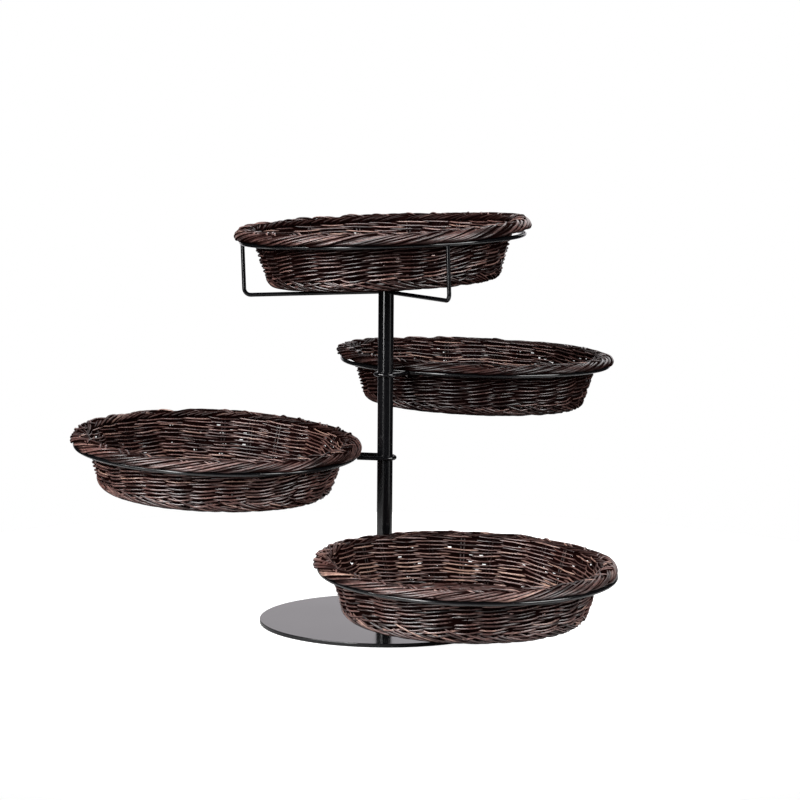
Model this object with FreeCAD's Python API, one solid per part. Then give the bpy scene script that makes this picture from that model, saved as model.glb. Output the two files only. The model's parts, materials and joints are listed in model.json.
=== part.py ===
import FreeCAD, Part
import math
import os
from FreeCAD import Placement, Rotation, Vector

# Counter-top display stand: a round steel base, a pole, a wire carrier on its top, three wire arms
# that spiral down it, and a round willow basket hanging by its border in each wire ring.
# Millimetres. The origin is the middle of the base's underside, +Z is up, -Y is the front.

# Base plate and pole
plate_diameter = 304.8
plate_thickness = 4.8
plate_edge_round = 0.8
pole_diameter = 19.0
pole_wall = 1.5
plug_length = 14.0

# Bent wire: the rings, the arms and the carrier's legs
wire_diameter = 5.0
ring_radius = 171.0
weld_land = 0.15
first_arm_level = 102.6
arm_pitch = 101.6
arm_reach = 34.2
leg_bend_radius = 8.0

# Carrier on the pole's top: its legs' level above the counter, and how far off the axis it stands
carrier_level = 406.4
carrier_slip = -2.0
hub_height = 8.0
leg_count = 3
first_leg_azimuth = 56.0

# How each welded wire holder stands on the pole. The azimuth runs from +X, droop lowers the outer
# edge, roll turns the holder about its radius and slip moves its middle along +X.
# Lap is how far up its arm's legs a ring is welded: 0 in line with them, 1 lying on top of them.
mid_arm_level = first_arm_level + arm_pitch
high_arm_level = mid_arm_level + arm_pitch
stations = {
    "low": {"level": first_arm_level, "azimuth": 298.0, "droop": 2.0, "roll": 0.0, "lap": 0.45},
    "mid": {"level": mid_arm_level, "azimuth": 183.0, "droop": -2.0, "roll": -3.0, "lap": 1.0},
    "high": {"level": high_arm_level, "azimuth": 56.0, "droop": 0.0, "roll": 1.2, "lap": 0.2},
    "top": {"level": carrier_level, "azimuth": 0.0, "droop": -2.2, "roll": 1.0, "slip": carrier_slip},
}

# Flat-head machine screws
screw_diameter = 6.0
screw_head_diameter = 12.0
screw_socket_width = 4.0
screw_socket_depth = 2.0
screw_grip = 11.0
screw_recess = 0.3
screw_hole_clearance = 0.4
thread_clearance = 0.05

# Willow basket, measured from the plane of the ring that it hangs in
basket_depth = 54.5
basket_wall = 7.0
basket_corner_radius = 16.0
basket_taper = 18.5
basket_ring_gap = 10.5
basket_floor_gap = 7.0
base_mat_radius = 122.0
weave_thickness = 4.2
stake_count = 28
slath_reach = 34.0
slath_width = 32.0
stick_lap = 2.0
border_overhang = 6.0
border_height = 13.0
border_seat_gap = 0.3

# The border's rounded section, as shares of its height: where its sides stand furthest out, where
# they turn into the crown and how far they draw in there
border_side_share = 0.4
border_shoulder_share = 0.82
border_tuck_share = 0.3

# Derived sizes
wire_radius = wire_diameter / 2
pole_radius = pole_diameter / 2
pole_bore_radius = pole_radius - pole_wall
screw_radius = screw_diameter / 2
pole_top = carrier_level - hub_height / 2
carrier_height = basket_depth + basket_floor_gap + max(hub_height / 2, wire_radius)
border_underside = wire_radius + border_seat_gap
wall_top_radius = ring_radius - wire_radius - basket_ring_gap
wall_low_radius = wall_top_radius - basket_taper
wall_rise = basket_depth + border_underside
stake_radius = basket_wall / 2
border_outer_radius = ring_radius + border_overhang
border_inner_radius = wall_top_radius - basket_wall

up = Vector(0, 0, 1)
origin = Vector(0, 0, 0)


def turn(axis, degrees):
    """A turn about an axis through the origin."""
    return Placement(origin, Rotation(axis, degrees))


def shift(x, y, z):
    """A move without a turn."""
    return Placement(Vector(x, y, z), Rotation())


def placed(shape, placement):
    """A copy of a shape, carried by a placement."""
    return shape.transformed(placement.toMatrix(), True)


def turned(points_and_arcs):
    """A solid of revolution about Z. Each item is the next corner of the half section as (r, z),
    or ((r, z), (r, z)) for an arc through the first point to the second."""
    corners = [item if not isinstance(item[0], tuple) else item[1] for item in points_and_arcs]
    edges = []
    here = Vector(corners[-1][0], 0, corners[-1][1])
    for item in points_and_arcs:
        if isinstance(item[0], tuple):
            through = Vector(item[0][0], 0, item[0][1])
            there = Vector(item[1][0], 0, item[1][1])
            edges.append(Part.Arc(here, through, there).toShape())
        else:
            there = Vector(item[0], 0, item[1])
            edges.append(Part.LineSegment(here, there).toShape())
        here = there
    return Part.Face(Part.Wire(edges)).revolve(origin, up, 360)


def bent_rod(edges, radius):
    """A round rod along a path of straight runs and tangent bends."""
    path = Part.Wire(edges)
    first = path.OrderedEdges[0]
    start = first.valueAt(first.FirstParameter)
    heading = first.tangentAt(first.FirstParameter)
    section = Part.Wire(Part.makeCircle(radius, start, heading))
    return path.makePipeShell([section], True, False)


def flat_head_screw(length):
    """A flat-head socket screw, its head's face at z = 0 and its shank pointing up."""
    shank_radius = screw_radius - thread_clearance
    body = turned(
        [
            (0, 0),
            (screw_head_diameter / 2, 0),
            (shank_radius, screw_head_diameter / 2 - shank_radius),
            (shank_radius, length),
            (0, length),
        ]
    )
    corner_radius = screw_socket_width / math.sqrt(3)
    angles = [math.radians(60 * k) for k in range(7)]
    hexagon = [Vector(corner_radius * math.cos(a), corner_radius * math.sin(a), 0) for a in angles]
    socket = Part.Face(Part.makePolygon(hexagon)).extrude(up * screw_socket_depth)
    return body.cut(socket)


def screw_hole(depth, face):
    """The clearance hole and countersink that a flat-head screw sits in, from z = face upward.
    The head's face lies screw_recess above that."""
    hole_radius = screw_radius + screw_hole_clearance
    head_radius = screw_head_diameter / 2
    mouth = face + screw_recess
    return turned(
        [
            (0, face),
            (head_radius, face),
            (head_radius, mouth),
            (hole_radius, mouth + head_radius - hole_radius),
            (hole_radius, depth),
            (0, depth),
        ]
    )


def make_base_plate():
    plate = Part.makeCylinder(plate_diameter / 2, plate_thickness)
    rims = [e for e in plate.Edges if isinstance(e.Curve, Part.Circle)]
    plate = plate.makeFillet(min(plate_edge_round, plate_thickness / 3), rims)
    return plate.cut(screw_hole(plate_thickness, 0))


def make_pole():
    length = pole_top - plate_thickness
    tube = Part.makeCylinder(pole_radius, length).cut(Part.makeCylinder(pole_bore_radius, length))
    return placed(tube, shift(0, 0, plate_thickness))


def make_plug(bottom):
    """The threaded plug welded in one end of the pole."""
    body = Part.makeCylinder(pole_bore_radius, plug_length)
    return placed(body.cut(Part.makeCylinder(screw_radius, plug_length)), shift(0, 0, bottom))


def make_base_screw():
    length = plate_thickness - screw_recess + screw_grip
    return placed(flat_head_screw(length), shift(0, 0, screw_recess))


def make_carrier_screw():
    length = hub_height - screw_recess + screw_grip
    head_down = turn(Vector(1, 0, 0), 180)
    return placed(flat_head_screw(length), shift(0, 0, pole_top + hub_height - screw_recess) * head_down)


def make_hub_blank():
    return Part.makeCylinder(pole_radius, hub_height, Vector(0, 0, pole_top))


def make_carrier_hub():
    """The turned boss on the pole's top that the carrier's legs are welded to."""
    hole_down = shift(0, 0, pole_top + hub_height) * turn(Vector(1, 0, 0), 180)
    return make_hub_blank().cut(placed(screw_hole(hub_height, 0), hole_down))


def holder_placement(name):
    """From a holder's own frame, on the pole's axis with +X outward, to the stand."""
    station = stations[name]
    hang = turn(Vector(0, 1, 0), station["droop"]) * turn(Vector(1, 0, 0), station["roll"])
    return shift(station.get("slip", 0), 0, station["level"]) * turn(up, station["azimuth"]) * hang


def ring_placement(name):
    """From a ring's own frame, at its middle, to the stand."""
    if name == "top":
        return holder_placement(name) * shift(0, 0, carrier_height)
    rise = stations[name]["lap"] * (wire_diameter - weld_land)
    return holder_placement(name) * shift(arm_reach + ring_radius, 0, rise)


def make_ring(name):
    return placed(Part.makeTorus(ring_radius, wire_radius), ring_placement(name))


def make_arm(name, ring, pole):
    """A hairpin of wire that hugs the pole and is welded to it, with both ends coped to the ring."""
    loop_radius = pole_radius + wire_radius - weld_land
    end = arm_reach + ring_radius - math.sqrt(ring_radius**2 - loop_radius**2)
    left_leg = Part.LineSegment(Vector(end, loop_radius, 0), Vector(0, loop_radius, 0))
    bend = Part.Arc(Vector(0, loop_radius, 0), Vector(-loop_radius, 0, 0), Vector(0, -loop_radius, 0))
    right_leg = Part.LineSegment(Vector(0, -loop_radius, 0), Vector(end, -loop_radius, 0))
    hairpin = bent_rod([left_leg.toShape(), bend.toShape(), right_leg.toShape()], wire_radius)
    return placed(hairpin, holder_placement(name)).cut(ring).cut(pole)


def make_leg(azimuth, ring):
    """One leg of the carrier: down from the ring, round a bend and in to the hub."""
    bend_x = ring_radius - leg_bend_radius
    bend_middle = leg_bend_radius * math.sqrt(0.5)
    bend_top = Vector(ring_radius, 0, leg_bend_radius)
    bend_end = Vector(bend_x, 0, 0)
    upright = Part.LineSegment(Vector(ring_radius, 0, carrier_height), bend_top)
    bend = Part.Arc(bend_top, Vector(bend_x + bend_middle, 0, leg_bend_radius - bend_middle), bend_end)
    spoke = Part.LineSegment(bend_end, Vector(pole_radius / 2, 0, 0))
    leg = bent_rod([upright.toShape(), bend.toShape(), spoke.toShape()], wire_radius)
    return placed(leg, holder_placement("top") * turn(up, azimuth)).cut(ring).cut(make_hub_blank())


def wall_radius(z, inset):
    """The radius of the flared wall at a height, so far in from its outer face."""
    flare = basket_taper / wall_rise
    return wall_low_radius + (z + basket_depth) * flare - inset * math.hypot(1, flare)


def make_basket_shell():
    """The woven bowl: a flared wall that turns through a round corner into a flat floor."""
    inset = stake_radius - weave_thickness / 2
    floor = inset - basket_depth
    bowl = turned(
        [
            (0, floor),
            (wall_radius(floor, inset), floor),
            (wall_radius(border_underside, inset), border_underside),
            (0, border_underside),
        ]
    )
    foot = [e for e in bowl.Edges if isinstance(e.Curve, Part.Circle) and e.BoundBox.ZMax < 0]
    bowl = bowl.makeFillet(basket_corner_radius - inset, foot)
    mouth = max(bowl.Faces, key=lambda face: face.CenterOfMass.z)
    return bowl.makeThickness([mouth], -weave_thickness, 1e-3)


def make_stake():
    """A stake of the siding along +X: out from the base, round the corner and up through the weave."""
    level = stake_radius - basket_depth
    corner = basket_corner_radius - stake_radius
    slant = math.atan2(wall_rise, basket_taper)
    bend_x = wall_radius(level, stake_radius) - corner * math.tan(slant / 2)

    def on_bend(angle):
        return Vector(bend_x + corner * math.sin(angle), 0, level + corner * (1 - math.cos(angle)))

    over = border_underside + basket_wall
    run = Part.LineSegment(Vector(0, 0, level), on_bend(0))
    bend = Part.Arc(on_bend(0), on_bend(slant / 2), on_bend(slant))
    rise = Part.LineSegment(on_bend(slant), Vector(wall_radius(over, stake_radius), 0, over))
    rod = bent_rod([run.toShape(), bend.toShape(), rise.toShape()], stake_radius)
    over_mat = Part.makeBox(base_mat_radius + stick_lap + basket_wall, 2 * basket_wall, basket_depth)
    return rod.cut(placed(over_mat, shift(-basket_wall, -basket_wall, -basket_depth)))


def make_siding():
    """The woven side with its stakes, open in the middle for the base and level under the border."""
    weave = make_basket_shell().cut(Part.makeCylinder(base_mat_radius, basket_depth, Vector(0, 0, -basket_depth)))
    stake = make_stake()
    stakes = [placed(stake, turn(up, 360 * k / stake_count)) for k in range(stake_count)]
    above = Part.makeCylinder(ring_radius, basket_depth, Vector(0, 0, border_underside))
    return weave.fuse(stakes).cut(above)


def make_base_mat():
    """The woven base about its middle: two bundles of sticks crossed in a slath, then fanned out
    like spokes that stand up through the weave."""
    mat = Part.makeCylinder(base_mat_radius, weave_thickness, Vector(0, 0, -weave_thickness / 2))
    half = slath_width / 2
    over = Part.makeBox(2 * slath_reach, slath_width, stake_radius, Vector(-slath_reach, -half, 0))
    under = placed(over, turn(up, 90) * turn(Vector(1, 0, 0), 180))
    start = Vector(slath_reach - stick_lap, 0, 0)
    length = base_mat_radius - stick_lap - start.x
    stick = Part.makeCylinder(stake_radius, length, start, Vector(1, 0, 0))
    sticks = [placed(stick, turn(up, 360 * k / stake_count)) for k in range(stake_count)]
    return mat.fuse([over, under] + sticks).removeSplitter()


def make_basket():
    """A basket's pieces in its ring's frame: the base mat, the siding woven up from it and the
    braided border that rests on the ring."""
    low = border_underside
    crown = low + border_height
    middle = (border_inner_radius + border_outer_radius) / 2
    side = border_height * border_side_share
    shoulder = border_height * border_shoulder_share
    tuck = border_height * border_tuck_share
    border = turned(
        [
            (border_outer_radius - tuck, low),
            ((border_outer_radius, low + side), (border_outer_radius - tuck, low + shoulder)),
            ((middle, crown), (border_inner_radius + tuck, low + shoulder)),
            ((border_inner_radius, low + side), (border_inner_radius + tuck, low)),
        ]
    )
    base = placed(make_base_mat(), shift(0, 0, stake_radius - basket_depth))
    return {"base": base, "siding": make_siding(), "border": border}


def make_all():
    """Every node of the stand by name."""
    nodes = {
        "base_plate": make_base_plate(),
        "base_screw": make_base_screw(),
        "pole": make_pole(),
        "pole_foot_plug": make_plug(plate_thickness),
        "pole_top_plug": make_plug(pole_top - plug_length),
        "carrier_hub": make_carrier_hub(),
        "carrier_screw": make_carrier_screw(),
    }
    basket = make_basket()
    for name in stations:
        ring = make_ring(name)
        nodes[name + "_ring"] = ring
        if name == "top":
            for k in range(leg_count):
                azimuth = first_leg_azimuth + k * 360 / leg_count
                nodes["carrier_leg_" + str(k + 1)] = make_leg(azimuth, ring)
        else:
            nodes[name + "_arm"] = make_arm(name, ring, nodes["pole"])
        for piece, shape in basket.items():
            nodes[name + "_basket_" + piece] = placed(shape, ring_placement(name))
    return nodes


os.makedirs("parts", exist_ok=True)
for node, shape in make_all().items():
    shape.exportStep(os.path.join("parts", node + ".step"))
    print(node, "solids", len(shape.Solids), "valid", shape.isValid(), "volume", round(shape.Volume, 1))
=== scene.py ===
# Looks for a counter-top display stand: black plate, pole and wire, and four willow baskets
# woven rod by rod, each hanging by its plaited border in a wire ring.
import json
import math
import random
import bpy
import numpy as np
from mathutils import Matrix, Vector


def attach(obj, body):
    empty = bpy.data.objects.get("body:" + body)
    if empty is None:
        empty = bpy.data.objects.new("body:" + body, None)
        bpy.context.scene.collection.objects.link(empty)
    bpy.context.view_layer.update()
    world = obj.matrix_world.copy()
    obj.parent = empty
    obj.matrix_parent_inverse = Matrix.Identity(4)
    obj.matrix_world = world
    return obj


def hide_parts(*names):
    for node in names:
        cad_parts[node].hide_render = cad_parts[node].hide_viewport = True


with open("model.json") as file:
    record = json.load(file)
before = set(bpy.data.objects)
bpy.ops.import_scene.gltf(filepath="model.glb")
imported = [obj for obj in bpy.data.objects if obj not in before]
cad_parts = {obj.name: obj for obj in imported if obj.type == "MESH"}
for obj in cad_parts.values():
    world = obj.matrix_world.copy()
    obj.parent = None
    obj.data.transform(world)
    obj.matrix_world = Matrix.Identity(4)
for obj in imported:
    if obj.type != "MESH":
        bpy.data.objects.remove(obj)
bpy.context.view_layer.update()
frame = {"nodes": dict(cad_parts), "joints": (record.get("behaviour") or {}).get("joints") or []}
dice = random.Random(28)
fullTurn = 2 * math.pi
print("frame loaded:", len(frame["nodes"]), "nodes")


# Shader maths: a Value wraps a socket, so that sums on it add Math nodes
class Value:
    def __init__(self, shade, socket):
        self.shade = shade
        self.socket = socket

    def maths(self, operation, first, second):
        return self.shade.node("ShaderNodeMath", {"operation": operation}, {0: first, 1: second})

    def __add__(self, other):
        return self.maths("ADD", self, other)

    def __radd__(self, other):
        return self.maths("ADD", other, self)

    def __sub__(self, other):
        return self.maths("SUBTRACT", self, other)

    def __rsub__(self, other):
        return self.maths("SUBTRACT", other, self)

    def __mul__(self, other):
        return self.maths("MULTIPLY", self, other)

    def __rmul__(self, other):
        return self.maths("MULTIPLY", other, self)


class Shade:
    def __init__(self, tree):
        self.tree = tree
        self.tree.nodes.clear()

    # any node: its type, its settings, then the values or links of its sockets
    def node(self, kind, settings=None, sockets=None, out=0):
        made = self.tree.nodes.new(kind)
        for key, setting in (settings or {}).items():
            if key == "stops":
                ramp = made.color_ramp
                while len(ramp.elements) < len(setting):
                    ramp.elements.new(0.5)
                for element, (place, colour) in zip(ramp.elements, setting):
                    element.position = place
                    element.color = colour + (1,)
            else:
                setattr(made, key, setting)
        for key, given in (sockets or {}).items():
            if isinstance(given, Value):
                self.tree.links.new(given.socket, made.inputs[key])
            else:
                made.inputs[key].default_value = given
        return Value(self, made.outputs[out]) if made.outputs else made

    def blend(self, share, first, second):
        return self.node("ShaderNodeMix", {"data_type": "RGBA"}, {0: share, 6: first, 7: second}, 2)

    def eased(self, given, low, high, first, last):
        return self.node("ShaderNodeMapRange", {"interpolation_type": "SMOOTHSTEP"}, {
            0: given, 1: low, 2: high, 3: first, 4: last})


def newMaterial(name):
    material = bpy.data.materials.new(name)
    material.use_nodes = True
    return material, Shade(material.node_tree)


# Stained willow: every rod has its own tone, streaks along it and dark leaf scars, and painted shade
willow = {
    "tones": [
        (0.0, (0.006, 0.0024, 0.0024)),
        (0.35, (0.019, 0.0096, 0.0086)),
        (0.6, (0.066, 0.032, 0.028)),
        (0.82, (0.154, 0.086, 0.074)),
        (1.0, (0.31, 0.19, 0.145)),
    ],
    "red": (0.10, 0.036, 0.029, 1),
    "redFrom": 0.45,
    "redTo": 0.75,
    "redMost": 0.45,
    "streaksPerMetre": 150.0,
    "streaksAround": 2.6,
    "streakSeed": 40.0,  # rods of another tone have other streaks
    "streakDepth": 0.95,
    "streakRough": 0.3,
    "patchScale": 21.0,
    "patchDepth": 0.25,
    "scarsPerMetre": 17.0,
    "scarsAround": 0.8,
    "scarSeed": 90.0,
    "scarFrom": 0.05,
    "scarTo": 0.13,
    "scarStrength": 0.7,
    "scarDent": 0.5,
    "scar": (0.008, 0.005, 0.004, 1),
    "roughness": 0.33,
    "shadeMixFrom": 0.1,  # painted shade, on the sides of a rod that face into the weave
    "shadeMixTo": 0.38,
    # painted shade on the undersides of the rods
    "shadeBelow": 0.7,
    "gloss": 0.62,
    "shadow": (0.0045, 0.0015, 0.0013, 1),
    "grain": 0.35,
    "grainDepth": 0.0004,
}


def makeWillow():
    material, shade = newMaterial("stained_willow")
    uv = shade.node("ShaderNodeUVMap", {"uv_map": "UVMap"})
    along = shade.node("ShaderNodeSeparateXYZ", None, {0: uv}, 0)
    around = shade.node("ShaderNodeSeparateXYZ", None, {0: uv}, 1)
    tone = shade.node("ShaderNodeAttribute", {"attribute_name": "tone"}, None, 2)
    streakAt = shade.node("ShaderNodeCombineXYZ", None, {
        0: along * willow["streaksPerMetre"],
        1: around * willow["streaksAround"],
        2: tone * willow["streakSeed"]})
    streak = shade.node("ShaderNodeTexNoise", None, {
        "Vector": streakAt, "Scale": 1.0, "Detail": 4.0, "Roughness": 0.6})
    scarAt = shade.node("ShaderNodeCombineXYZ", None, {
        0: along * willow["scarsPerMetre"],
        1: around * willow["scarsAround"],
        2: tone * willow["scarSeed"]})
    scar = shade.node("ShaderNodeTexVoronoi", {"feature": "F1"}, {"Vector": scarAt, "Scale": 1.0})
    scarMask = shade.node("ShaderNodeMapRange", None, {
        0: scar, 1: willow["scarFrom"], 2: willow["scarTo"], 3: 1.0, 4: 0.0})
    where = shade.node("ShaderNodeTexCoord", None, None, 3)
    patch = shade.node("ShaderNodeTexNoise", None, {
        "Vector": where, "Scale": willow["patchScale"], "Detail": 2.0})
    level = tone + (streak - 0.5) * willow["streakDepth"] + (patch - 0.5) * willow["patchDepth"]
    stain = shade.node("ShaderNodeValToRGB", {"stops": willow["tones"]}, {0: level})
    redness = shade.node("ShaderNodeMapRange", None, {
        0: patch, 1: willow["redFrom"], 2: willow["redTo"], 3: 0.0, 4: willow["redMost"]})
    stained = shade.blend(redness, stain, willow["red"])
    scarred = shade.blend(scarMask * willow["scarStrength"], stained, willow["scar"])
    hidden = shade.node("ShaderNodeAttribute", {"attribute_name": "hidden"}, None, 2)
    shadeMix = shade.eased(hidden, willow["shadeMixFrom"], willow["shadeMixTo"], 0.0, 1.0)
    bump = shade.node("ShaderNodeBump", None, {
        "Strength": willow["grain"],
        "Distance": willow["grainDepth"],
        "Height": streak - scarMask * willow["scarDent"]})
    surface = shade.node("ShaderNodeBsdfPrincipled", None, {
        "Base Color": scarred,
        "Roughness": willow["roughness"] + (streak - 0.5) * willow["streakRough"],
        "Normal": bump,
        "Specular IOR Level": willow["gloss"]})
    # painted shade: where the rods' painted shade is high, a dark shadow colour takes the lit surface's place
    shadow = shade.node("ShaderNodeBsdfDiffuse", None, {"Color": willow["shadow"]})
    shadeMixed = shade.node("ShaderNodeMixShader", None, {0: shadeMix, 1: surface, 2: shadow})
    shade.node("ShaderNodeOutputMaterial", None, {0: shadeMixed})
    return material


# Black powder coat: satin, with a fine orange peel
blackCoat = {
    "colour": (0.0016, 0.0016, 0.0020, 1),
    "worn": (0.0032, 0.0032, 0.0038, 1),
    "cloudScale": 14.0,
    "cloudRough": 0.08,
    "roughness": 0.15,
    "gloss": 0.45,
    "peelScale": 620.0,
    "peel": 0.06,
    "peelDepth": 0.0002,
}


def makeBlackCoat():
    material, shade = newMaterial("black_powder_coat")
    where = shade.node("ShaderNodeTexCoord", None, None, 3)
    peel = shade.node("ShaderNodeTexNoise", None, {
        "Vector": where, "Scale": blackCoat["peelScale"], "Detail": 2.0})
    cloud = shade.node("ShaderNodeTexNoise", None, {
        "Vector": where, "Scale": blackCoat["cloudScale"], "Detail": 5.0})
    bump = shade.node("ShaderNodeBump", None, {
        "Strength": blackCoat["peel"], "Distance": blackCoat["peelDepth"], "Height": peel})
    surface = shade.node("ShaderNodeBsdfPrincipled", None, {
        "Base Color": shade.blend(cloud, blackCoat["colour"], blackCoat["worn"]),
        "Roughness": blackCoat["roughness"] + (cloud - 0.5) * blackCoat["cloudRough"],
        "Normal": bump,
        "Specular IOR Level": blackCoat["gloss"]})
    shade.node("ShaderNodeOutputMaterial", None, {0: surface})
    return material


# Zinc-plated screws and plugs, hidden in the pole's ends
zincPlate = {
    "colour": (0.56, 0.57, 0.58, 1),
    "dull": (0.38, 0.38, 0.37, 1),
    "spangleScale": 400.0,
    "spangleRough": 0.2,
    "roughness": 0.34,
}


def makeZinc():
    material, shade = newMaterial("zinc_plate")
    where = shade.node("ShaderNodeTexCoord", None, None, 3)
    spangle = shade.node("ShaderNodeTexNoise", None, {
        "Vector": where, "Scale": zincPlate["spangleScale"], "Detail": 3.0})
    surface = shade.node("ShaderNodeBsdfPrincipled", None, {
        "Base Color": shade.blend(spangle, zincPlate["colour"], zincPlate["dull"]),
        "Metallic": 1.0,
        "Roughness": zincPlate["roughness"] + (spangle - 0.5) * zincPlate["spangleRough"]})
    shade.node("ShaderNodeOutputMaterial", None, {0: surface})
    return material


willowFinish = makeWillow()
blackFinish = makeBlackCoat()
zincFinish = makeZinc()
zincNodes = ("base_screw", "carrier_screw", "pole_foot_plug", "pole_top_plug")
for node, piece in frame["nodes"].items():
    piece.data.materials.clear()
    finish = willowFinish if "basket" in node else zincFinish if node in zincNodes else blackFinish
    piece.data.materials.append(finish)
print("finishes made")


# Where a basket hangs: its ring's middle and axis, as the lift joint gives them
def basketPlace(name):
    joint = next(j for j in frame["joints"] if j["name"] == name + "_basket_lift")
    up = Vector(joint["axis"]).normalized()
    side = (Vector((1, 0, 0)) - up * up.x).normalized()
    turned = np.array([side, up.cross(side), up])
    return turned, np.array(joint["pos_m"])


# A node's least and greatest radius and height, in the frame of the ring that it hangs in
def measureNode(node, place):
    mesh = frame["nodes"][node].data
    flat = np.zeros(len(mesh.vertices) * 3, np.float32)
    mesh.vertices.foreach_get("co", flat)
    local = (flat.reshape(-1, 3) - place[1]) @ place[0].T
    radius = np.hypot(local[:, 0], local[:, 1])
    return radius.min(), radius.max(), local[:, 2].min(), local[:, 2].max()


def bend(low, high, share):
    eased = np.clip((share - low) / (high - low), 0, 1)
    return eased * eased * (3 - 2 * eased)


def outward(theta):
    return np.stack([np.cos(theta), np.sin(theta), 0 * theta], axis=1)


def upward(along):
    return np.stack([0 * along, 0 * along, 1 + 0 * along], axis=1)


# What all the rods have in common: a slow drift from their course, rounded ends, and tones that stay
# near a middle one, but for a few rods that took the stain badly and are tan
rodHabits = {
    "driftRates": (1.7, 4.3, 9.1),
    "driftShare": 0.6,
    "roundedEnd": 0.7,
    "tanShare": 0.05,
    "tanTones": (0.72, 0.95),
    "toneSpread": 0.17,
    "toneLimits": (0.05, 0.95),
    "smoothUpTo": 60,
    "weld": 1e-7,
}


def wander(theta, size):
    drift = 0
    for rate in rodHabits["driftRates"]:
        drift = drift + math.sqrt(1 / rate) * np.sin(rate * theta + dice.uniform(0, fullTurn))
    return drift * size * rodHabits["driftShare"]


def addRod(rods, path, width, tone, tip, face, front, back=0.0, paler=0.0):
    # the rod tapers from its butt to its tip, and both ends are rounded off. Its face is the direction
    # that looks out of the weave, front and back say how little painted shade it gets on either side of
    # it, and its back may be paler.
    share = np.linspace(0, 1, len(path))
    radii = width / 2 * (1 - (1 - tip) * share)
    radii[[0, -1]] *= rodHabits["roundedEnd"]
    rods.append({"path": path, "radii": radii, "tone": tone, "face": face,
                 "front": front + 0 * share, "back": back + 0 * share, "paler": paler + 0 * share})


def rodTone(middle):
    if dice.random() < rodHabits["tanShare"]:
        return dice.uniform(*rodHabits["tanTones"])
    darkest, palest = rodHabits["toneLimits"]
    return min(palest, max(darkest, dice.gauss(middle, rodHabits["toneSpread"])))


def giveValues(mesh, name, values):
    mesh.attributes.new(name, "FLOAT", "POINT").data.foreach_set("value", values)


# Rods become one mesh: a bevelled curve, converted, with each rod's tone and true length kept, and painted
# shade set on its sides
def makeRods(name, rods, place, roundness, stain):
    curve = bpy.data.curves.new(name, "CURVE")
    curve.dimensions = "3D"
    curve.bevel_depth = 1.0
    curve.bevel_resolution = roundness
    curve.use_fill_caps = True
    lengths = []
    for rod in rods:
        spline = curve.splines.new("POLY")
        spline.points.add(len(rod["path"]) - 1)
        points = np.ones((len(rod["path"]), 4))
        points[:, :3] = rod["path"] @ place[0] + place[1]
        spline.points.foreach_set("co", points.ravel())
        spline.points.foreach_set("radius", rod["radii"])
        lengths.append(np.linalg.norm(np.diff(rod["path"], axis=0), axis=1).sum())
    piece = bpy.data.objects.new(name, curve)
    bpy.context.scene.collection.objects.link(piece)
    bpy.ops.object.select_all(action="DESELECT")
    piece.select_set(True)
    bpy.context.view_layer.objects.active = piece
    bpy.ops.object.convert(target="MESH")
    mesh = piece.data

    # the end caps come first in the mesh, from the last rod to the first, and then the rods' sides
    sides = 2 * (roundness + 2)
    capOwners = np.repeat(np.arange(len(rods))[::-1], 2 * sides)
    sideOwners = np.repeat(np.arange(len(rods)), [len(rod["path"]) * sides for rod in rods])
    owners = np.concatenate([capOwners, sideOwners])
    caps = len(capOwners)

    def onSides(key):
        return np.concatenate([np.repeat(rod[key], sides, axis=0) for rod in rods])

    flat = np.zeros(len(mesh.vertices) * 3, np.float32)
    mesh.vertices.foreach_get("co", flat)
    # painted shade: sides facing into the weave and undersides get it, less where front or back is high
    spokes = flat.reshape(-1, 3)[caps:] - (onSides("path") @ place[0] + place[1])
    spokes = spokes / np.linalg.norm(spokes, axis=1)[:, None]
    facing = (spokes * (onSides("face") @ place[0])).sum(axis=1)
    lifted = spokes @ place[0][2] * willow["shadeBelow"]  # painted shade on the lower side of each rod, as light from above leaves it
    shows = np.where(facing > 0, onSides("front"), onSides("back"))
    hidden = np.full(len(mesh.vertices), 0.5, np.float32)
    hidden[caps:] = 0.5 - 0.5 * (np.abs(facing) + lifted) * shows
    giveValues(mesh, "hidden", hidden)
    tones = np.array([rod["tone"] + stain for rod in rods], np.float32)[owners]
    tones[caps:] += onSides("paler") * (facing < 0)
    giveValues(mesh, "tone", tones)

    corners = np.zeros(len(mesh.loops), np.int32)
    mesh.loops.foreach_get("vertex_index", corners)
    uv = np.zeros(len(mesh.loops) * 2, np.float32)
    mesh.uv_layers[0].data.foreach_get("uv", uv)
    uv[0::2] = uv[0::2] * np.array(lengths, np.float32)[owners[corners]]
    mesh.uv_layers[0].data.foreach_set("uv", uv)
    bpy.ops.object.mode_set(mode="EDIT")
    bpy.ops.mesh.select_all(action="SELECT")
    bpy.ops.mesh.remove_doubles(threshold=rodHabits["weld"])  # welds the end caps on
    bpy.ops.object.mode_set(mode="OBJECT")
    bpy.ops.object.shade_smooth_by_angle(angle=math.radians(rodHabits["smoothUpTo"]))
    mesh.materials.append(willowFinish)
    return piece


# A dark sheet or torus of painted shade joins the piece that it is in, with the full painted shade on it
def joinPaintedShade(piece, dark):
    mesh = dark.data
    giveValues(mesh, "tone", np.zeros(len(mesh.vertices), np.float32))
    giveValues(mesh, "hidden", np.ones(len(mesh.vertices), np.float32))
    mesh.materials.append(willowFinish)
    bpy.ops.object.select_all(action="DESELECT")
    dark.select_set(True)
    piece.select_set(True)
    bpy.context.view_layer.objects.active = piece
    bpy.ops.object.join()


# The bowl that a basket is woven on: a flat floor, a round corner and a flared wall. A point on
# its middle surface is found by its angle, by the distance up from the corner's foot, and outward.
bowl = {"wall": 0.007, "cornerRadius": 0.016, "flare": 0.0185, "ringGap": 0.0105}


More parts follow.
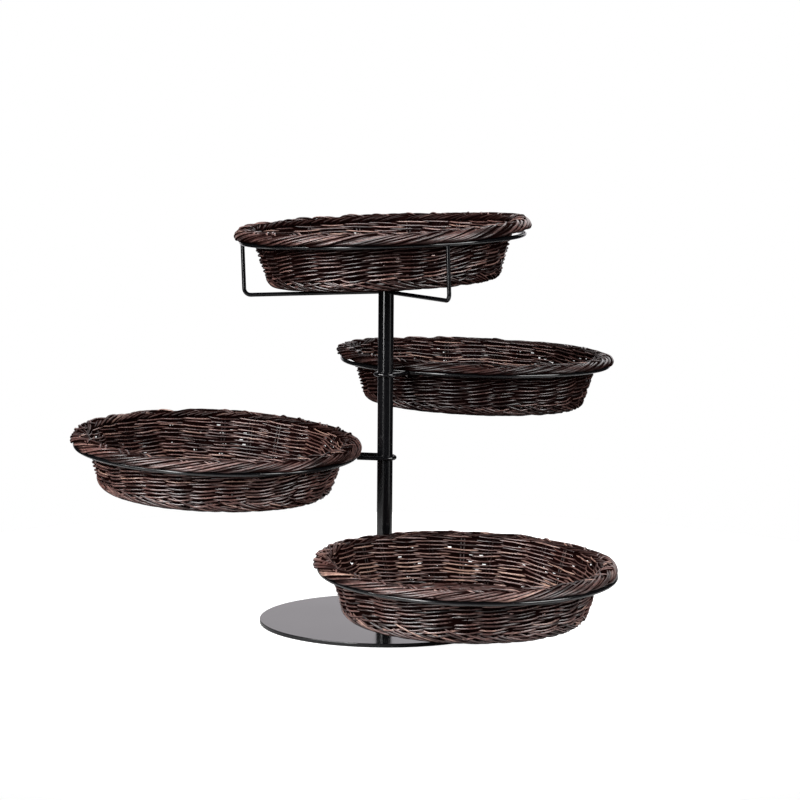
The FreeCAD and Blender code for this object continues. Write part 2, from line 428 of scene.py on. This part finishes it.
def bowlShape(name, place):
    ringInner = measureNode(name + "_ring", place)[0]
    floor, top = measureNode(name + "_basket_siding", place)[2:]
    rise = top - floor
    slope = math.hypot(bowl["flare"], rise)
    tangent = (bowl["flare"] / slope, rise / slope)
    turnAngle = math.atan2(rise, bowl["flare"])
    half = bowl["wall"] / 2
    corner = bowl["cornerRadius"] - half
    wallTop = ringInner - bowl["ringGap"]
    topMiddle = (wallTop - half * tangent[1], top + half * tangent[0])
    floorMiddle = floor + half
    meet = topMiddle[0] - (topMiddle[1] - floorMiddle) * tangent[0] / tangent[1]
    reach = corner * math.tan(turnAngle / 2)
    arc = corner * turnAngle
    straight = math.hypot(topMiddle[0] - meet, topMiddle[1] - floorMiddle) - reach
    return {"foot": meet - reach, "floor": floorMiddle, "corner": corner, "arc": arc,
            "tangent": tangent, "length": arc + straight}


def onBowl(shape, theta, up, out):
    turned = np.clip(up, 0, shape["arc"]) / shape["corner"]
    before = np.minimum(up, 0)
    after = np.maximum(up - shape["arc"], 0)
    radius = shape["foot"] + before + shape["corner"] * np.sin(turned) + after * shape["tangent"][0]
    height = shape["floor"] + shape["corner"] * (1 - np.cos(turned)) + after * shape["tangent"][1]
    level = np.clip((up - shape["arc"]) / shape["corner"], 0, 1)  # weavers on the wall swing level
    radius = radius + out * (np.sin(turned) + level * (1 - np.sin(turned)))
    height = height - out * np.cos(turned) * (1 - level)
    return np.stack([radius * np.cos(theta), radius * np.sin(theta), height], axis=1)


# How each basket came out of the maker's hands, and how much painted shade it gets. Headings are degrees
# in plan: 0 is right, 90 is the back. Its border's crest is that much higher than the plan, and leans
# higher toward a heading. Its foot is lifted and tipped in the same way, and it rides up on its ring on
# one side. Its border is spread that much wider. It sits off the middle of its ring by a shift, and is
# turned there by whole stakes. Stain is how much lighter or darker its rods are, and rim how much its
# border's are, partly its own tone and partly painted shade where less light reaches it. Outer is how
# little painted shade its outer faces get, and glints are the share of the gaps that let light through.
hands = {
    "low": {
        "crest": -0.0022, "lean": 0.0008, "leanTo": 300, "lift": 0.0, "tip": 0.0008, "tipTo": 0,
        "ride": 0.002, "rideTo": 175, "spread": -0.002, "shift": (-0.0024, 0.0), "turn": 1,
        "stain": 0.0, "rim": -0.05, "outer": 0.82, "glints": 0.02,
    },
    "mid": {
        "crest": 0.0009, "lean": 0.0017, "leanTo": 110, "lift": 0.0016, "tip": 0.0, "tipTo": 0,
        "ride": 0.0, "rideTo": 0, "spread": -0.001, "shift": (0.0, 0.0), "turn": 4,
        "stain": 0.0, "rim": -0.1, "outer": 0.84, "glints": 0.025,
    },
    "high": {
        "crest": -0.0026, "lean": 0.0012, "leanTo": 170, "lift": 0.0003, "tip": 0.0026, "tipTo": 180,
        "ride": 0.003, "rideTo": 178, "spread": 0.0, "shift": (-0.001, 0.0), "turn": 16,
        "stain": -0.10, "rim": -0.17, "outer": 0.56, "glints": 0.05,
    },
    "top": {
        "crest": 0.002, "lean": 0.0022, "leanTo": 92, "lift": 0.0, "tip": 0.0014, "tipTo": 0,
        "ride": 0.0042, "rideTo": 0, "spread": 0.003, "shift": (0.0, 0.0), "turn": 10,
        "stain": -0.10, "rim": -0.02, "outer": 0.66, "glints": 0.05,
    },
}


def toward(path, degrees, ring):
    # how far each point lies toward a heading, as a share of the ring's radius
    angle = math.radians(degrees) - ring["spin"]
    return (path[:, 0] * math.cos(angle) + path[:, 1] * math.sin(angle)) / ring["radius"]


def shifted(path, hand, ring):
    x, y = hand["shift"]
    moved = path.copy()
    moved[:, 0] += x * math.cos(ring["spin"]) + y * math.sin(ring["spin"])
    moved[:, 1] += y * math.cos(ring["spin"]) - x * math.sin(ring["spin"])
    return moved


def ridden(path, hand, ring):
    return hand["ride"] * np.maximum(0, toward(path, hand["rideTo"], ring)) ** 3


def handmadeBody(path, hand, ring, floor):
    share = np.clip(path[:, 2] / floor, 0, 1)
    worn = shifted(path, hand, ring)
    worn[:, 2] += (hand["lift"] + hand["tip"] * toward(path, hand["tipTo"], ring)) * share
    worn[:, 2] += ridden(path, hand, ring) * (1 - share)
    return worn


def handmadeBorder(path, hand, ring, box, rodRadius):
    inner, outer, low, high = box
    share = np.clip((path[:, 2] - low) / (high - low), 0, 1.2)  # loose rods stand above the box
    radius = np.hypot(path[:, 0], path[:, 1])
    worn = path.copy()
    worn[:, 2] += (hand["crest"] + hand["lean"] * toward(path, hand["leanTo"], ring)) * share
    worn[:, :2] *= (1 + hand["spread"] * np.clip((radius - inner) / (outer - inner), 0, 1) / radius)[:, None]
    worn[:, 2] += ridden(path, hand, ring)
    worn = shifted(worn, hand, ring)
    radius = np.hypot(worn[:, 0], worn[:, 1])  # rods lie on the wire and don't cut it
    away = np.hypot(radius - ring["radius"], worn[:, 2])
    push = np.maximum(1, (ring["wire"] + rodRadius) / away)
    worn[:, :2] *= ((ring["radius"] + (radius - ring["radius"]) * push) / radius)[:, None]
    worn[:, 2] *= push
    return worn


# Siding: paired stakes, a three-rod wale round the foot and a French rand above it, with one weaver
# begun at each stake and all of them climbing together
siding = {
    "stakes": 28,
    "stakeWidth": 0.0026,
    "stakeSpread": (0.9, 1.1),
    "stakeTip": 0.9,
    "stakePoints": 18,
    "stakeFrom": -0.01,
    "stakeLean": 0.008,
    "stakeDrift": 0.0002,
    "stakeDriftRate": 60,
    # stakeShows: how little painted shade a stake gets, picked for each stake
    "stakeShows": (0.05, 0.6),
    "stakeTone": 0.47,
    "pairGap": 0.0038,
    "pairRadius": 0.148,
    "crowding": ((0.012, 3), (0.009, 7), (0.007, 11)),  # sizes, and waves in a round
    "weaverWidth": 0.00248,
    "weaverSpread": (0.85, 1.25),
    "weaverTip": 0.78,
    "rowPitch": 0.00242,
    "rowGap": 0.25,
    "swing": 0.0029,
    "stagger": 0.15,
    "slant": 0.0003,
    # comesOut: painted shade where a weaver passes behind a stake fades in over this part of its swing;
    # inside is how little painted shade its inner side gets
    "comesOut": (-1.2, 0.2),
    "inside": 0.76,
    "paler": 0.125,
    "uneven": 0.00062,
    "drift": 0.0006,
    "driftRate": 2,
    "sway": 0.0012,
    "swayRates": (2, 5, 9),
    "tuckIn": 0.006,
    "steps": 6,
    "tone": 0.53,
    "waleRods": 3,
    "waleRounds": 1.4,
    "walePitch": 0.0054,
    "waleWidth": 0.0032,
    "waleTip": 0.95,
    "waleSwing": 0.0022,
    "waleLift": 0.0014,
    "waleFoot": 0.002,
    # waleComesOut: painted shade where a wale rod passes behind a stake
    "waleComesOut": (-1, 0.2),
    "waleSteps": 5,
    "waleTone": 0.53,
    "footRods": 3,
    "footWidth": 0.0026,
    "footTip": 0.9,
    "footPoints": 15,
    "footSlip": 0.09,
    "footReach": 2.5,
    "footStretch": (0.85, 1.2),
    "footFrom": 0.018,
    "footUneven": 0.002,
    "footTo": -0.004,
    "footOut": 0.0030,
    "footRound": 1.15,
}


def weaveSiding(shape, hand, ring):
    rods = []
    stakes = siding["stakes"]
    top = shape["length"] + siding["tuckIn"]
    crowding = [(size, rate, dice.uniform(0, fullTurn)) for size, rate in siding["crowding"]]

    def crowded(theta):
        return theta + sum(size * np.sin(rate * theta + phase) for size, rate, phase in crowding)

    for k in range(stakes):
        lean = dice.gauss(0, siding["stakeLean"])
        shows = dice.uniform(*siding["stakeShows"])
        for side in (-0.5, 0.5):
            up = np.linspace(siding["stakeFrom"], top, siding["stakePoints"])
            aside = side * siding["pairGap"] / siding["pairRadius"]
            theta = crowded(fullTurn * k / stakes) + aside + lean * up / shape["length"]
            drift = wander(up * siding["stakeDriftRate"], siding["stakeDrift"])
            width = siding["stakeWidth"] * dice.uniform(*siding["stakeSpread"])
            addRod(rods, onBowl(shape, theta, up, drift), width, rodTone(siding["stakeTone"]),
                   siding["stakeTip"], outward(theta), shows * hand["outer"], shows)
    for k in range(siding["waleRods"]):
        points = int(siding["waleRounds"] * stakes * siding["waleSteps"])
        theta = np.linspace(0, siding["waleRounds"], points) * fullTurn
        phase = stakes / siding["waleRods"] * theta + fullTurn * k / siding["waleRods"]
        up = siding["waleFoot"] + siding["walePitch"] * theta / fullTurn + siding["waleLift"] * np.sin(phase)
        path = onBowl(shape, theta, up, siding["waleSwing"] * np.cos(phase))
        front = bend(*siding["waleComesOut"], np.cos(phase))
        back = bend(*siding["waleComesOut"], -np.cos(phase))
        addRod(rods, path, siding["waleWidth"], rodTone(siding["waleTone"]), siding["waleTip"],
               outward(theta), front, back)
    for k in range(stakes):
        for j in range(siding["footRods"]):  # rods that slant over the wale and under the base
            share = np.linspace(0, 1, siding["footPoints"])
            begin = k + j / siding["footRods"] + dice.gauss(0, siding["footSlip"])
            reach = siding["footReach"] * dice.uniform(*siding["footStretch"])
            theta = (begin + reach * share) / stakes * fullTurn
            footFrom = siding["footFrom"] + dice.gauss(0, siding["footUneven"])
            up = footFrom + (siding["footTo"] - footFrom) * share
            out = siding["footOut"] * np.sin(math.pi * np.clip(share * siding["footRound"], 0, 1)) ** 0.5
            addRod(rods, onBowl(shape, theta, up, out), siding["footWidth"], rodTone(siding["waleTone"]),
                   siding["footTip"], outward(theta), hand["outer"])
    firstRow = siding["waleFoot"] + siding["walePitch"] * (siding["waleRounds"] + siding["rowGap"])
    swayAt = [(rate, dice.uniform(0, fullTurn)) for rate in siding["swayRates"]]
    passes = (top - firstRow) / siding["rowPitch"]
    step = np.linspace(0, passes, int(passes * siding["steps"]))
    climb = step / passes
    rows = range(int(passes) + 2)
    for k in range(stakes):
        theta = crowded((k + step) / stakes * fullTurn)
        sway = sum(np.sin(rate * theta + phase) for rate, phase in swayAt) * siding["sway"]
        ownHeights = [dice.gauss(0, siding["uneven"]) for row in rows]
        up = firstRow + siding["rowPitch"] * step + sway * np.sin(math.pi * climb)
        up = up - siding["slant"] * np.sin(math.pi * step)
        up = up + np.interp(step, rows, ownHeights) + wander(theta * siding["driftRate"], siding["drift"])
        slips = [dice.gauss(0, siding["stagger"]) for row in rows]
        wave = -np.cos(math.pi * (step + np.interp(step, rows, slips)))
        width = siding["weaverWidth"] * dice.uniform(*siding["weaverSpread"])
        addRod(rods, onBowl(shape, theta, up, siding["swing"] * wave), width, rodTone(siding["tone"]),
               siding["weaverTip"], outward(theta), hand["outer"] * bend(*siding["comesOut"], wave),
               siding["inside"] * bend(*siding["comesOut"], -wave), siding["paler"])
    for rod in rods:
        rod["path"] = handmadeBody(rod["path"], hand, ring, shape["floor"])
    return rods


# A dark sheet of painted shade in the middle of the weave, where the rods crowd so closely that hardly any
# light comes through; cells left out of it let light through
shadeSheet = {"columns": 220, "sidingRows": 46, "baseRows": 70, "hub": 0.002}


def addShadeSheet(piece, shape, hand, ring, place, low, high, rows):
    columns = shadeSheet["columns"]
    theta = np.tile(np.arange(columns) / columns * fullTurn, rows)
    up = np.repeat(np.linspace(low, high, rows), columns)
    path = handmadeBody(onBowl(shape, theta, up, 0 * up), hand, ring, shape["floor"])
    cells = []
    for row in range(rows - 1):
        here = row * columns
        above = here + columns
        for column in range(columns):
            after = (column + 1) % columns
            if dice.random() > hand["glints"]:
                cells.append((here + column, here + after, above + after, above + column))
    mesh = bpy.data.meshes.new("shadeSheet")
    mesh.from_pydata((path @ place[0] + place[1]).tolist(), [], cells)
    mesh.uv_layers.new(name="UVMap")
    sheet = bpy.data.objects.new("shadeSheet", mesh)
    bpy.context.scene.collection.objects.link(sheet)
    joinPaintedShade(piece, sheet)


# Base: seven sticks through seven, opened out like spokes and woven round to the corner
base = {
    "sticks": 7,
    "stickWidth": 0.0042,
    "stickGap": 0.0046,
    "stickTip": 0.75,
    "stickPoints": 14,
    # stickShows: how little painted shade the sticks get
    "stickShows": 0.85,
    "stickTone": 0.42,
    "slath": 0.02,
    "slathLift": 0.0019,
    "fanFrom": 0.8,
    "fanned": 0.05,
    "edge": 0.002,
    "weaverWidth": 0.0029,
    "weaverSpread": (0.92, 1.1),
    "weaverTip": 0.85,
    "rowPitch": 0.0024,
    "firstRow": 0.004,
    "lastRow": 0.003,
    "drift": 0.0002,
    "pairsTo": 0.042,
    "swing": 0.0028,
    "crispness": 1.5,
    # comesOut: painted shade where a weaver passes under a stick fades in over this part of its swing
    "comesOut": (-1, 0.2),
    "rodLength": (0.5, 1.1),
    "leastRadius": 0.03,
    "lap": 2,
    "steps": 4,
    "tone": 0.45,
}


def weaveBase(shape, hand, ring):
    rods = []
    level = shape["floor"]
    reach = shape["foot"] - base["edge"]
    middle = (base["sticks"] - 1) / 2
    for quarter in range(4):
        for j in range(base["sticks"]):
            out = np.concatenate([[0.0], np.linspace(base["slath"], reach, base["stickPoints"])])
            aside = (j - middle) * base["stickGap"]
            parallel = np.arctan2(aside, np.maximum(out, 1e-6))
            fan = math.radians(90) * (j - middle) / base["sticks"]
            eased = bend(base["slath"] * base["fanFrom"], base["fanned"], out)
            angle = parallel * (1 - eased) + fan * eased + quarter * math.pi / 2
            far = np.where(out < base["slath"] * 0.5, abs(aside), np.hypot(out, aside * (1 - eased)))
            crossed = base["slathLift"] if quarter % 2 else -base["slathLift"]
            height = level + crossed * (1 - bend(0.0, base["fanned"], out))
            path = np.stack([far * np.cos(angle), far * np.sin(angle), height], axis=1)
            addRod(rods, path, base["stickWidth"], rodTone(base["stickTone"]), base["stickTip"], upward(out),
                   base["stickShows"], base["stickShows"])
    spokes = 4 * base["sticks"]
    perTurn = spokes * base["steps"]
    for chase in (0, 1):
        start = base["slath"] + base["firstRow"]
        turns = (reach + base["lastRow"] - start) / (2 * base["rowPitch"])
        behind = chase * math.pi
        theta = np.linspace(0, turns, int(turns * perTurn)) * fullTurn + behind
        radius = start + base["rowPitch"] * (theta - behind) / math.pi + wander(theta, base["drift"])
        wave = np.where(radius < base["pairsTo"], np.sin(spokes / 4 * theta + behind),
                        np.sin(spokes / 2 * theta + math.pi / 2 + behind))
        height = level + base["swing"] * np.tanh(base["crispness"] * wave)
        path = np.stack([radius * np.cos(theta), radius * np.sin(theta), height], axis=1)
        front = bend(*base["comesOut"], wave)
        back = bend(*base["comesOut"], -wave)
        here = 0
        while here < len(theta) - perTurn // 4:
            length = dice.uniform(*base["rodLength"])
            girth = fullTurn * max(radius[here], base["leastRadius"])
            stop = min(len(theta), here + int(length / girth * perTurn))
            part = slice(max(0, here - base["lap"]), stop)
            width = base["weaverWidth"] * dice.uniform(*base["weaverSpread"])
            addRod(rods, path[part], width, rodTone(base["tone"]), base["weaverTip"], upward(theta[part]),
                   front[part], back[part])
            here = stop
    for rod in rods:
        rod["path"] = handmadeBody(rod["path"], hand, ring, level)
    return rods


# Border: bands of rods that lie against the ring, climb the outer face, cross the crest and dive
# inside, with the ends of the next bands showing as short strokes along the inner edge. Turns are
# degrees round the border's section: 0 is outward, 90 is the crest.
border = {
    "bands": 28,
    "bandRods": (4, 3, 3),
    "bandWidths": {3: 1.05, 4: 0.92},  # rods are thicker where there are fewer
    "bandTone": 0.08,
    "bandSlip": 0.05,
    "bandStretch": (0.95, 1.06),
    "bandPoints": 28,
    "rodWidth": 0.0036,
    "rodSpread": (0.85, 1.12),
    "rodTip": 0.88,
    "rodSlip": 0.03,
    "rodTurn": 5,
    "rodTone": 0.16,
    "rodTones": (0.1, 0.95),
    "inset": 0.003,
    "seat": 0.0009,
    "droop": 0.0026,
    "reach": 3.75,
    "spread": 0.84,
    "firstTurn": -100.0,
    "lastTurn": 175.0,
    "hurry": 0.1,
    "square": 0.86,
    "fullness": 0.95,
    "swell": 0.06,
    "swellTurns": (-100, -50),
    "dip": 0.16,  # leaves room for the tails at the crest
    "dipStart": (48, 76),
    "dipEnd": (112, 138),
    "uneven": 0.0009,
    "bundle": 0.0012,
    "loose": 0.0014,
    "looseStart": (0.02, 0.2),
    "looseEnd": (0.7, 0.95),
    "underRods": 3,
    "underPoints": 20,
    "underSlip": 0.06,
    "under": 0.86,
    "layerTip": 0.9,
    "tailRods": 3,
    "tailPoints": 12,
    "tailFrom": 0.5,
    "tailSpread": 0.5,
    "tailSlip": 0.04,
    "tailUneven": 0.0010,
    "tailWidth": 0.0029,
    "tailReach": 0.75,
    "tailFirst": 152.0,
    "tailLast": 44.0,
    "tailFullness": 0.78,
    "tailRise": 0.26,
    "tailRisen": 0.36,
    "tailSink": 0.34,
    "tailSinks": 0.66,
    "tailTone": 0.06,
    "tone": 0.58,
    # painted shade on the border: shade darkens its inner face over shadeTurns, rods sunk below sunkFrom get
    # more of it, and showing and outerShare say how little the outer face gets
    "shade": 0.56,
    "shadeTurns": (92, 140),
    "sunkFrom": 0.98,
    "sunkShade": 4,
    "showing": 0.84,
    "outerShare": 0.6,
    "shadeCore": 0.72,
    "shadeCoreSegments": (112, 10),
}


def plaitBorder(box, hand, ring):
    rods = []
    inner, outer, low, high = box
    middle = (inner + outer) / 2
    halfWidth = (outer - inner) / 2 - border["rodWidth"] / 2
    halfHeight = (high - low) / 2 - border["rodWidth"] / 2
    level = (low + high) / 2
    pitch = fullTurn / border["bands"]
    rimTone = border["tone"] + hand["rim"]
    wholeTurn = border["lastTurn"] - border["firstTurn"]
    showing = border["showing"] * (1 - border["outerShare"] + border["outerShare"] * hand["outer"])

    def crestDip(degrees):
        return border["dip"] * (bend(*border["dipStart"], degrees) - bend(*border["dipEnd"], degrees))

    def layRod(theta, degrees, fullness, lift, width, tone, tip):
        turn = np.radians(degrees)
        across = np.sign(np.cos(turn)) * np.abs(np.cos(turn)) ** border["square"]
        risen = np.sign(np.sin(turn)) * np.abs(np.sin(turn)) ** border["square"]
        radius = middle + (halfWidth * fullness + lift) * across
        height = level + (halfHeight * fullness + lift) * risen - border["droop"] * np.maximum(across, 0) ** 2
        path = np.stack([radius * np.cos(theta), radius * np.sin(theta), height], axis=1)
        length = np.hypot(np.cos(turn) / halfWidth, np.sin(turn) / halfHeight)
        side = np.cos(turn) / halfWidth / length
        rise = np.sin(turn) / halfHeight / length
        face = np.stack([side * np.cos(theta), side * np.sin(theta), rise], axis=1)
        # painted shade: darker on the inner face and where a rod lies sunk under the others
        shaded = 1 - border["shade"] * bend(*border["shadeTurns"], degrees)
        sunk = np.clip(1 - (border["sunkFrom"] - fullness) * border["sunkShade"], 0, 1)
        addRod(rods, path, width, tone, tip, face, sunk * shaded * showing)

    for band in range(border["bands"]):
        bandTone = dice.gauss(rimTone, border["bandTone"])
        bandLift = dice.gauss(0, border["uneven"])
        bandSlip = dice.gauss(0, border["bandSlip"])
        bandReach = border["reach"] * dice.uniform(*border["bandStretch"])
        count = dice.choice(border["bandRods"])
        for j in range(count):
            share = np.linspace(0, 1, border["bandPoints"])
            begin = band + border["spread"] * j / count + bandSlip + dice.gauss(0, border["rodSlip"])
            theta = (begin + bandReach * share) * pitch
            eased = share * (1 - border["hurry"]) + border["hurry"] * share * share
            degrees = border["firstTurn"] + wholeTurn * eased + dice.gauss(0, border["rodTurn"])
            fullness = border["fullness"] + border["swell"] * bend(*border["swellTurns"], degrees)
            lift = min(border["loose"], dice.gauss(0, border["bundle"]) + bandLift)
            lift = lift * bend(*border["looseStart"], share) * (1 - bend(*border["looseEnd"], share))
            width = border["rodWidth"] * dice.uniform(*border["rodSpread"]) * border["bandWidths"][count]
            darkest, palest = border["rodTones"]
            tone = min(palest, max(darkest, dice.gauss(bandTone, border["rodTone"])))
            layRod(theta, degrees, fullness - crestDip(degrees), lift, width, tone, border["rodTip"])
        for j in range(border["underRods"]):  # the layer beneath, which shows where two bands part
            share = np.linspace(0, 1, border["underPoints"])
            begin = band + j / border["underRods"] + dice.gauss(0, border["underSlip"])
            theta = (begin + border["reach"] * share) * pitch
            degrees = border["firstTurn"] + wholeTurn * share
            fullness = border["under"] - crestDip(degrees)
            layRod(theta, degrees, fullness, 0, border["rodWidth"], rodTone(rimTone), border["layerTip"])
        for j in range(border["tailRods"]):
            share = np.linspace(0, 1, border["tailPoints"])
            begin = band + border["tailFrom"] + border["tailSpread"] * j / border["tailRods"]
            theta = (begin + dice.gauss(0, border["tailSlip"]) + border["tailReach"] * share) * pitch
            degrees = border["tailFirst"] + (border["tailLast"] - border["tailFirst"]) * share
            fullness = border["tailFullness"] + border["tailRise"] * bend(0, border["tailRisen"], share)
            fullness = fullness - border["tailSink"] * bend(border["tailSinks"], 1, share)
            lift = min(border["loose"], dice.gauss(0, border["tailUneven"]))
            tone = rodTone(rimTone + border["tailTone"])
            layRod(theta, degrees, fullness, lift, border["tailWidth"], tone, border["layerTip"])
    for rod in rods:
        rod["path"] = handmadeBorder(rod["path"], hand, ring, box, rod["radii"])
    return rods


def addShadeCore(piece, box, place, hand, ring):
    # a dark torus of painted shade inside the border, in place of the rods packed there, so that no light
    # shows through it
    inner, outer, low, high = box
    around, across = border["shadeCoreSegments"]
    bpy.ops.object.select_all(action="DESELECT")
    bpy.ops.mesh.primitive_torus_add(
        major_radius=(inner + outer) / 2, minor_radius=(outer - inner) / 2 * border["shadeCore"],
        major_segments=around, minor_segments=across)
    shadeCore = bpy.context.object
    flat = np.zeros(len(shadeCore.data.vertices) * 3, np.float32)
    shadeCore.data.vertices.foreach_get("co", flat)
    path = flat.reshape(-1, 3).astype(float)
    path[:, 2] = path[:, 2] * (high - low) / (outer - inner) + (low + high) / 2
    path = handmadeBorder(path, hand, ring, box, 0) @ place[0] + place[1]
    shadeCore.data.vertices.foreach_set("co", path.astype(np.float32).ravel())
    joinPaintedShade(piece, shadeCore)


for name, hand in hands.items():
    body = name + "_basket"
    turned, middle = basketPlace(name)
    shape = bowlShape(name, (turned, middle))
    spin = fullTurn * hand["turn"] / siding["stakes"]
    spun = np.array([[math.cos(spin), math.sin(spin), 0], [-math.sin(spin), math.cos(spin), 0], [0, 0, 1]])
    place = (spun @ turned, middle)
    inner, outer, low, high = measureNode(body + "_border", place)
    borderBox = (inner + border["inset"], outer, low - border["seat"], high)
    ringBox = measureNode(name + "_ring", place)
    ring = {"radius": (ringBox[0] + ringBox[1]) / 2, "wire": (ringBox[1] - ringBox[0]) / 2, "spin": spin}
    stain = hand["stain"]
    made = {
        "border": makeRods(name + "_willow_border", plaitBorder(borderBox, hand, ring), place, 2, stain),
        "siding": makeRods(name + "_willow_siding", weaveSiding(shape, hand, ring), place, 1, stain),
        "base": makeRods(name + "_willow_base", weaveBase(shape, hand, ring), place, 1, stain),
    }
    addShadeCore(made["border"], borderBox, place, hand, ring)
    hub = shadeSheet["hub"] - shape["foot"]
    foot = siding["waleFoot"]
    top = shape["length"] + siding["tuckIn"]
    addShadeSheet(made["siding"], shape, hand, ring, place, foot, top, shadeSheet["sidingRows"])
    addShadeSheet(made["base"], shape, hand, ring, place, hub, foot, shadeSheet["baseRows"])
    for part, piece in made.items():
        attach(piece, body)
        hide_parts(body + "_" + part)
    print(name, "basket woven:", {part: len(piece.data.polygons) for part, piece in made.items()})


# Pale floor, which brightens into the white far from the stand
studio = {
    "floorRadius": 0.85,
    "floorLevel": -0.0004,
    "floorColour": (0.5, 0.5, 0.5, 1),
    "floorRoughness": 0.7,
    "glow": 0.97,
    "whiteFrom": 0.3,
    "whiteAt": 0.8,
    "background": 1.0,
}
bpy.ops.object.select_all(action="DESELECT")
bpy.ops.mesh.primitive_circle_add(
    vertices=96, radius=studio["floorRadius"], fill_type="NGON", location=(0, 0, studio["floorLevel"]))
floor = bpy.context.object
floor.name = "floor"
floorFinish, shade = newMaterial("pale_floor")
spot = shade.node("ShaderNodeTexCoord", None, None, 3)
away = shade.node("ShaderNodeVectorMath", {"operation": "LENGTH"}, {0: spot}, 1)
seen = shade.node("ShaderNodeLightPath")
glow = shade.eased(away, studio["whiteFrom"], studio["whiteAt"], studio["glow"], 1.0) * seen
shine = shade.node("ShaderNodeCombineXYZ", None, {0: glow, 1: glow, 2: glow})
surface = shade.node("ShaderNodeBsdfPrincipled", None, {
    "Base Color": studio["floorColour"],
    "Roughness": studio["floorRoughness"],
    "Emission Color": shine,
    "Emission Strength": 1.0})
shade.node("ShaderNodeOutputMaterial", None, {0: surface})
floor.data.materials.append(floorFinish)

# White studio: plain white to the eye, and as a light a bright back wall and a dim room in front
sky = {
    "tint": (1.0, 0.955, 1.0, 1),
    "front": 0.012,
    "back": 0.92,
    "backFrom": 0.88,
    "backTo": 0.975,
    "above": 0.05,
    "aboveFrom": 0.2,
    "aboveTo": 0.9,
}
world = bpy.data.worlds.new("studio")
bpy.context.scene.world = world
world.use_nodes = True
shade = Shade(world.node_tree)
heading = shade.node("ShaderNodeTexCoord", None, None, 0)
behind = shade.node("ShaderNodeSeparateXYZ", None, {0: heading}, 1)
above = shade.node("ShaderNodeSeparateXYZ", None, {0: heading}, 2)
backLight = shade.eased(behind, sky["backFrom"], sky["backTo"], sky["front"], sky["back"])
topLight = shade.eased(above, sky["aboveFrom"], sky["aboveTo"], 0.0, sky["above"])
seen = shade.node("ShaderNodeLightPath")
ambient = shade.node("ShaderNodeBackground", None, {0: sky["tint"], 1: backLight + topLight})
backdrop = shade.node("ShaderNodeBackground", None, {0: (1, 1, 1, 1), 1: studio["background"]})
both = shade.node("ShaderNodeMixShader", None, {0: seen, 1: ambient, 2: backdrop})
shade.node("ShaderNodeOutputWorld", None, {0: both})

# Softboxes: place, the point that each looks at, width and height, and power
softboxes = {
    "key": {"at": (-1.95, -1.35, 1.5), "to": (0, 0, 0.25), "size": (1.8, 1.3), "power": 116},
    "fill": {"at": (2.0, -1.25, 1.3), "to": (0, 0, 0.25), "size": (1.6, 1.2), "power": 70},
    "strip": {"at": (-1.25, -2.0, 0.85), "to": (0, 0, 0.4), "size": (0.46, 1.5), "power": 34},
    "glow": {"at": (-0.95, -2.3, -0.45), "to": (0, 0, 0.2), "size": (0.7, 0.9), "power": 0.8},
    "side": {"at": (2.2, -0.9, 0.2), "to": (0, 0, 0.2), "size": (0.4, 2.0), "power": 4},
    "back": {"at": (0.7, 2.3, 1.5), "to": (0, 0, 0.25), "size": (1.6, 1.2), "power": 10},
    "top": {"at": (-0.1, -0.5, 2.2), "to": (0, 0, 0), "size": (1.2, 0.8), "power": 42},
}
for name, box in softboxes.items():
    lamp = bpy.data.lights.new(name, "AREA")
    lamp.shape = "RECTANGLE"
    lamp.size, lamp.size_y = box["size"]
    lamp.energy = box["power"]
    holder = bpy.data.objects.new(name, lamp)
    bpy.context.scene.collection.objects.link(holder)
    holder.location = box["at"]
    holder.rotation_euler = (Vector(box["to"]) - Vector(box["at"])).to_track_quat("-Z", "Y").to_euler()

# Camera in front of the stand, a little turned and tilted
view = {
    "at": (0.0068, -2.9573, 0.6086),
    "pitch": 6.45,
    "yaw": 0.16,
    "roll": 0.47,
    "lens": 109.988,
    "sensor": 36.0,
}
lookDown = Matrix.Rotation(math.radians(view["pitch"]), 3, "X")
tilt = Matrix.Rotation(math.radians(view["roll"]), 3, "Y")
swing = Matrix.Rotation(math.radians(view["yaw"]), 3, "Z")
right, ahead, up = lookDown @ tilt @ swing
lens = bpy.data.cameras.new("camera")
lens.lens = view["lens"]
lens.sensor_width = view["sensor"]
camera = bpy.data.objects.new("camera", lens)
bpy.context.scene.collection.objects.link(camera)
camera.matrix_world = Matrix.Translation(view["at"]) @ Matrix((right, up, -ahead)).transposed().to_4x4()
bpy.context.scene.camera = camera
bpy.context.scene.view_settings.view_transform = "Standard"
print("studio and camera set")
